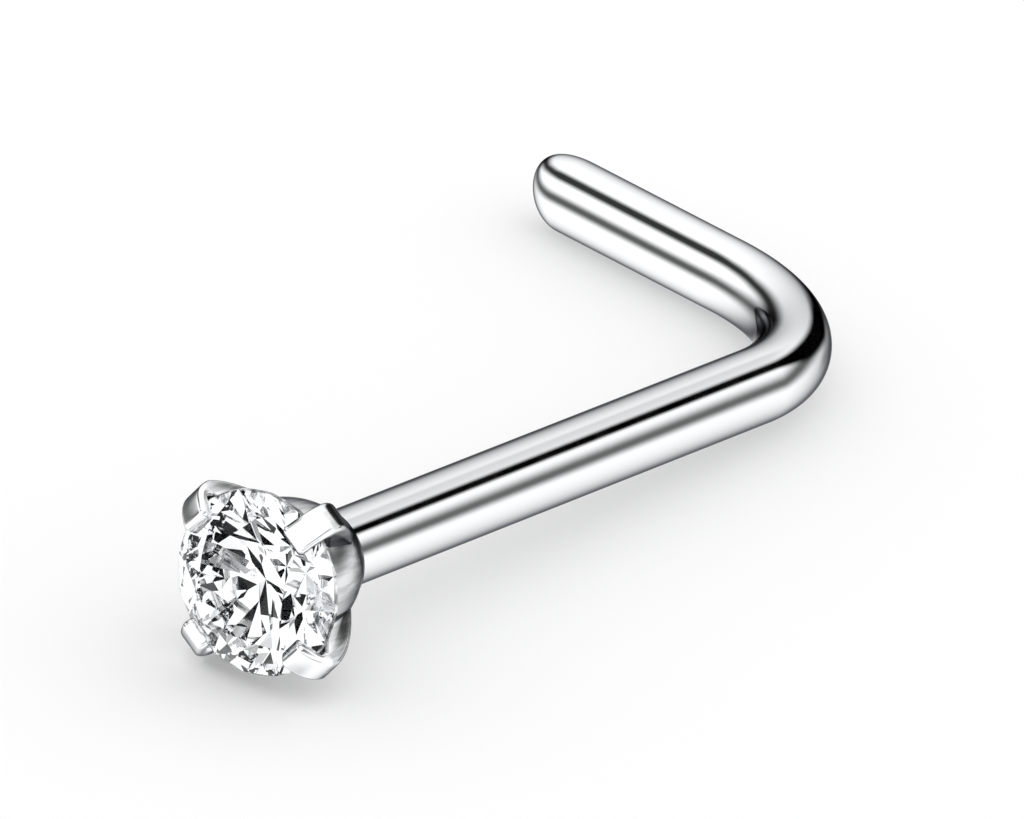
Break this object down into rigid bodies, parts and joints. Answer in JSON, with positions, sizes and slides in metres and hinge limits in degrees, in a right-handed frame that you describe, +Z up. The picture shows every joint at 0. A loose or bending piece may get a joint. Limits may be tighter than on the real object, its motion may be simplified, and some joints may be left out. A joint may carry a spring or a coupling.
{
  "type": "nose stud",
  "caption": "L-bent nose stud: round brilliant-cut stone in a four-prong cup, soldered to a polished wire post with a domed tip.",
  "frame": {"origin": "middle of the footprint, on the surface that the unworn stud lies on", "axes": "+Z up; the post lies along X with the stone facing -X and the bend at +X; the tail points to +Y"},
  "size_m": [0.0098, 0.0044, 0.0016],
  "materials": {
    "steel": "mirror-polished surgical steel",
    "crystal": "clear, faceted, polished"
  },
  "bodies": {
    "root": {"post_with_setting": "steel", "stone": "crystal"}
  },
  "joints": []
}
